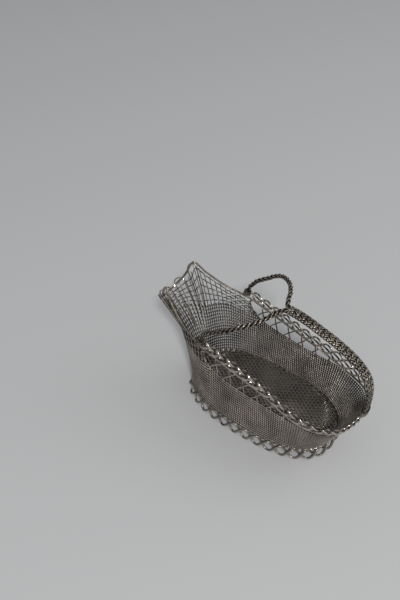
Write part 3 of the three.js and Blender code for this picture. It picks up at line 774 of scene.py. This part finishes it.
# Points of the grip's middle line, as shares of its way back and of its drop.
grip_shares = np.array(
    [
        (0, 0),
        (0.1, 0.007),
        (0.22, 0.032),
        (0.37, 0.079),
        (0.57, 0.148),
        (0.78, 0.26),
        (0.915, 0.39),
        (0.975, 0.522),
        (0.998, 0.68),
        (1, 0.84),
        (0.985, 1),
    ]
)
grip_x = GRIP_START + grip_shares[:, 0] * (GRIP_BACK_X - GRIP_START) + base_shift
grip_z = JUNCTION_HEIGHT - grip_shares[:, 1] * (JUNCTION_HEIGHT - PLAIT_TOP)
grip_line, grip_length = smooth_line(np.stack([grip_x, 0 * grip_x, grip_z], axis=-1), GRIP_STEPS)
grip_braid, grip_out, grip_swing = braid_lines(grip_line, WAY_ACROSS, grip_length)
grip = lay_wires("grip_braid", grip_braid, grip_out, GRIP_WIRE, offset=grip_swing, reach=GRIP_REACH)
core_across = np.linspace(-1, 1, CORE_WIRES)[:, None, None] * GRIP_HALF_WIDTH * CORE_SHARE
core_lines = grip_line[None, CORE_TRIM:-CORE_TRIM] + core_across * WAY_ACROSS
grip_core = lay_wires("grip_core", core_lines, WAY_ACROSS, CORE_WIRE, corners=5, reach=CORE_REACH)
dress(grip, plaited_silver, "plaited_wire", "grip")
dress(grip_core, plaited_silver, "plaited_wire", "grip")

# Bindings: fine wire wound close round the cords' feet and round the tail of the grip, to hold them to the
# rim. The windings at the feet are drawn into a knot, with a short end left standing.
BINDING_WIRE = 1.3
BINDING_LENGTH = 7.5
BINDING_STEPS = 24
KNOT_START = 1.2
KNOT_RADIUS = 3.4
KNOT_SLIP = 0.12
KNOT_SLIP_RATE = 2.63
KNOT_SWELL = 0.14
KNOT_SWELL_RATE = 0.37
KNOT_SWELL_PHASE = 1.0
KNOT_END_SHARE = 0.04
KNOT_END_STAND = 0.9
KNOT_SIDE = (1, 0, 0)
TAIL_HALF_WIDTH = 6.6
TAIL_HALF_HEIGHT = 3.2
TAIL_TRIM = 3
TAIL_REACH = 0.85


def winding(line, side, half_width, half_height, uneven):
    """A close helix round a line: an oval of the two half-sizes, one turn for each wire's width of length. An
    uneven one swells and slips along by sines of the turn that don't repeat, and its last end stands out."""
    turns = round(running_length(line)[-1] / BINDING_WIRE)
    share = np.linspace(0, 1, turns * BINDING_STEPS + 1)
    angle = 2 * np.pi * turns * share
    slipped = np.clip(share + uneven * KNOT_SLIP * np.sin(KNOT_SLIP_RATE * angle), 0, 1)
    line_share = np.linspace(0, 1, len(line))
    base = points_at(slipped, line_share, line)
    along = unit(np.gradient(points_at(share, line_share, line), axis=0))
    up = unit(np.cross(along, np.broadcast_to(side, base.shape)))
    across = np.cross(up, along)
    bulge = KNOT_SWELL * np.sin(KNOT_SWELL_RATE * angle + KNOT_SWELL_PHASE)
    stand = KNOT_END_STAND * np.clip(share - (1 - KNOT_END_SHARE), 0, 1) / KNOT_END_SHARE
    swell = (1 + uneven * (bulge + stand))[:, None]
    out = swell * (half_width * np.cos(angle)[:, None] * across + half_height * np.sin(angle)[:, None] * up)
    return base + out, unit(out)


cord_step = cord_length / (CORD_STEPS - 1)
knot_first = round(KNOT_START / cord_step)
knot_last = round((KNOT_START + BINDING_LENGTH) / cord_step)
knot, knot_out = winding(cord_line[knot_first:knot_last], KNOT_SIDE, KNOT_RADIUS, KNOT_RADIUS, uneven=1.0)
for hand, mirror in HANDS:
    binding = lay_wires(f"{hand}_cord_winding", knot[None] * mirror, knot_out * mirror, BINDING_WIRE)
    dress(binding, plaited_silver, "plaited_wire", f"{hand}_cord_binding")
tail_count = round(BINDING_LENGTH / grip_length * (GRIP_STEPS - 1))
tail_line = grip_line[-tail_count - TAIL_TRIM : -TAIL_TRIM]
tail, tail_out = winding(tail_line, WAY_ACROSS, TAIL_HALF_WIDTH, TAIL_HALF_HEIGHT, uneven=0.0)
tail_binding = lay_wires("tail_winding", tail[None], tail_out, BINDING_WIRE, reach=TAIL_REACH)
dress(tail_binding, plaited_silver, "plaited_wire", "tail_binding")

# Lip loops: the ends of the neck's long wires, smooth and bright, turned back in hairpins that stand out
# beyond the lip. Their legs lie on the outside of the mesh.
LOOP_WIRE = 1.6
LOOP_OUT = 2.6
LOOP_HALF = 0.42
LOOP_SPREAD = 2.6
LOOP_REACH = 6.5
LOOP_COUNT = 5
LOOP_ROOT_SHARE = 0.55
LOOP_LEG_STEPS = 10
LOOP_BEND_STEPS = 18
LOOP_BELOW_LIP = 1.0
leg_share = np.linspace(LOOP_ROOT_SHARE, 1, LOOP_LEG_STEPS)
bend = np.linspace(0, np.pi, LOOP_BEND_STEPS)[1:-1, None]
for number in range(LOOP_COUNT):
    middle_place = LIP_PLACE + LOOP_SPREAD * (2 * number / (LOOP_COUNT - 1) - 1)
    lip_height = rim_height(middle_place)
    legs = []
    for place in (middle_place - LOOP_HALF, middle_place + LOOP_HALF):
        height = np.minimum(leg_share * lip_height, rim_height(place))
        legs.append(hull(place, height) + LOOP_OUT * hull_out(place, height))
    centre = (legs[0][-1] + legs[1][-1]) / 2
    across = (legs[1][-1] - legs[0][-1]) / 2
    ahead = LOOP_REACH * hull_up(middle_place, lip_height - LOOP_BELOW_LIP)
    turn = centre - np.cos(bend) * across + np.sin(bend) * ahead
    line = np.concatenate([legs[0], turn, legs[1][::-1]])
    side = hull_out(middle_place, lip_height - LOOP_BELOW_LIP)
    lip_loop = lay_wires(f"lip_hairpin_{number + 1}", line[None], side, LOOP_WIRE, corners=7)
    dress(lip_loop, smooth_silver, "smooth_wire", f"lip_loop_{number + 1}")

# Table: a wide, pale and matt sheet, sized in metres, that runs out of view on every side and takes the
# basket's shadow. Over it is a pale room that metal can reflect.
TABLE_HALF = 4.0
TABLE_COLOUR = (0.5, 0.5, 0.498, 1)
TABLE_ROUGHNESS = 0.95
TABLE_GLOSS = 0.1
ROOM_COLOUR = (0.9, 0.92, 0.95, 1)
ROOM_STRENGTH = 0.42
table_mesh = bpy.data.meshes.new("table")
table_corners = [(x * TABLE_HALF, y * TABLE_HALF, 0) for x, y in ((-1, -1), (1, -1), (1, 1), (-1, 1))]
table_mesh.from_pydata(table_corners, [], [(0, 1, 2, 3)])
table = bpy.data.objects.new("table", table_mesh)
bpy.context.scene.collection.objects.link(table)
table_white = bpy.data.materials.new("table_white")
table_white.use_nodes = True
table_shader = table_white.node_tree.nodes["Principled BSDF"]
table_shader.inputs["Base Color"].default_value = TABLE_COLOUR
table_shader.inputs["Roughness"].default_value = TABLE_ROUGHNESS
table_shader.inputs["Specular IOR Level"].default_value = TABLE_GLOSS
table_mesh.materials.append(table_white)

room = bpy.data.worlds.new("room")
room.use_nodes = True
room_light = room.node_tree.nodes["Background"]
room_light.inputs["Color"].default_value = ROOM_COLOUR
room_light.inputs["Strength"].default_value = ROOM_STRENGTH
bpy.context.scene.world = room

# Lamps: a soft lamp just to the right of the camera, and a weak broad one behind the basket on the right.
# Both face the middle of the basket. Places and sizes are in metres.
BASKET_MIDDLE = Vector((0, 0, 0.07))


def soft_lamp(name, place, size, power):
    """A square lamp that faces the middle of the basket."""
    lamp = bpy.data.lights.new(name, "AREA")
    lamp.size = size
    lamp.energy = power
    holder = bpy.data.objects.new(name, lamp)
    holder.location = place
    holder.rotation_euler = (BASKET_MIDDLE - Vector(place)).to_track_quat("-Z", "Y").to_euler()
    bpy.context.scene.collection.objects.link(holder)


soft_lamp("key_lamp", place=(1.1, -1.38, 2.2), size=0.3, power=44.0)
soft_lamp("fill_lamp", place=(1.0, 1.2, 1.3), size=1.2, power=7.0)

# Camera: where the picture was taken from, found from the perspective of the base and the handle. Its place
# is in metres, and its focal length in lines of the picture.
CAMERA_PLACE = (0.2643, -0.4725, 0.7139)
CAMERA_LOOK = (-0.4137, 0.5658, -0.7133)
SENSOR = 36.0
FOCAL_LINES = 760
PICTURE_LINES = 600
eye = bpy.data.cameras.new("camera")
eye.sensor_fit = "VERTICAL"
eye.sensor_height = SENSOR
eye.lens = SENSOR * FOCAL_LINES / PICTURE_LINES
camera = bpy.data.objects.new("camera", eye)
camera.location = CAMERA_PLACE
camera.rotation_euler = Vector(CAMERA_LOOK).to_track_quat("-Z", "Y").to_euler()
bpy.context.scene.collection.objects.link(camera)
bpy.context.scene.camera = camera
bpy.context.scene.view_settings.view_transform = "Standard"
